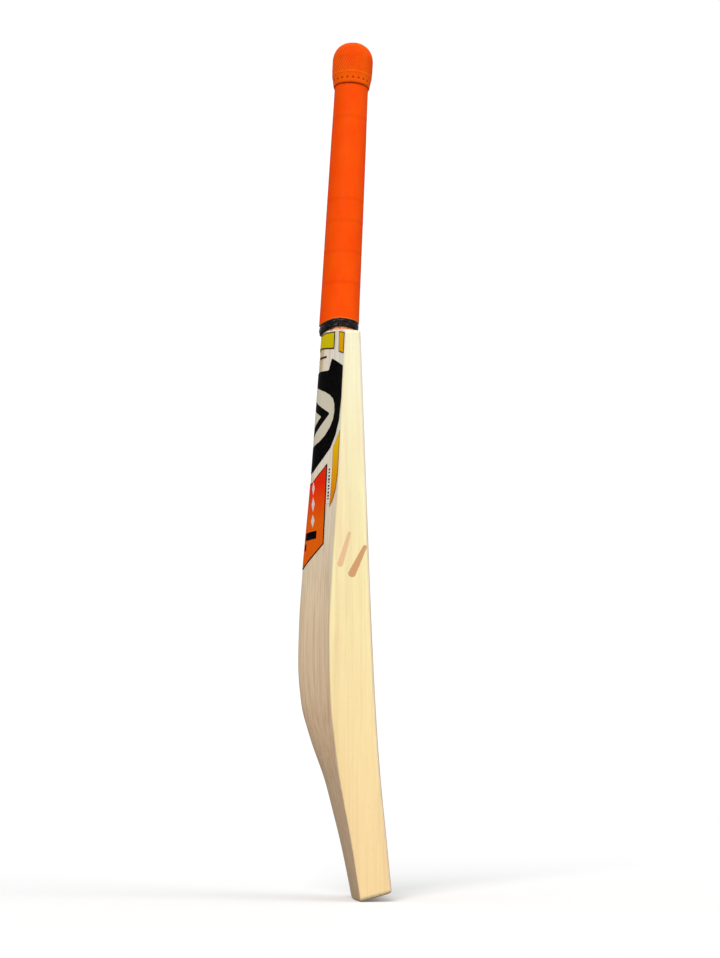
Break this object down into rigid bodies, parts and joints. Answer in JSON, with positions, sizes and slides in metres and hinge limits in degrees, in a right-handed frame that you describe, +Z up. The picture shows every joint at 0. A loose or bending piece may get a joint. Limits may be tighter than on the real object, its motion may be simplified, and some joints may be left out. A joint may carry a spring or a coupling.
{
  "type": "cricket bat",
  "caption": "Full-size cricket bat: bowed willow blade with a high spine and thick edges, spliced cane handle, rubber grip, domed end cap, tape collar and plain coloured back labels.",
  "frame": {"origin": "middle of the bounding box in X and Y, at its lowest point, which is the toe", "axes": "+Z up along the bat from toe to handle; the face looks along -Y, the spine is at +Y; X runs across the blade"},
  "size_m": [0.108, 0.0844, 0.8528],
  "materials": {
    "willow": "pale straight-grained willow, sanded and waxed to a soft satin",
    "cane": "golden laminated cane, sanded",
    "insert": "dark rubber strip, matt",
    "twine": "waxed thread wound in close turns",
    "tape": "black stretched tape, glossy, with slanting wrinkles",
    "grip": "bright orange rubber, satin, with faint rings",
    "cap": "bright orange rubber with a fine raised diamond mesh",
    "olive_label": "olive-yellow film with a dark brown border",
    "amber_label": "amber film fading to orange, thin dark border",
    "black_label": "black film, semi-gloss",
    "cream_label": "cream film with a plain black lozenge outline",
    "red_label": "red film fading to orange, dark border, plain pale bars",
    "white_label": "white film with small plain black ticks"
  },
  "bodies": {
    "root": {"badge_centre": "cream_label", "badge_ring": "black_label", "blade": "willow", "cane_1_left": "cane", "cane_1_middle": "cane", "cane_1_right": "cane", "cane_2_left": "cane", "cane_2_middle": "cane", "cane_2_right": "cane", "cane_3_left": "cane", "cane_3_middle": "cane", "cane_3_right": "cane", "cane_4_left": "cane", "cane_4_middle": "cane", "cane_4_right": "cane", "dash_left": "black_label", "dash_right": "black_label", "end_cap": "cap", "flash_left": "amber_label", "flash_right": "amber_label", "grip": "grip", "rubber_insert_1": "insert", "rubber_insert_2": "insert", "rubber_insert_3": "insert", "side_strip_left": "amber_label", "side_strip_right": "amber_label", "spine_panel": "red_label", "tape_collar": "tape", "tick_strip_left": "white_label", "tick_strip_right": "white_label", "top_label": "olive_label", "twine_binding": "twine"}
  },
  "joints": []
}
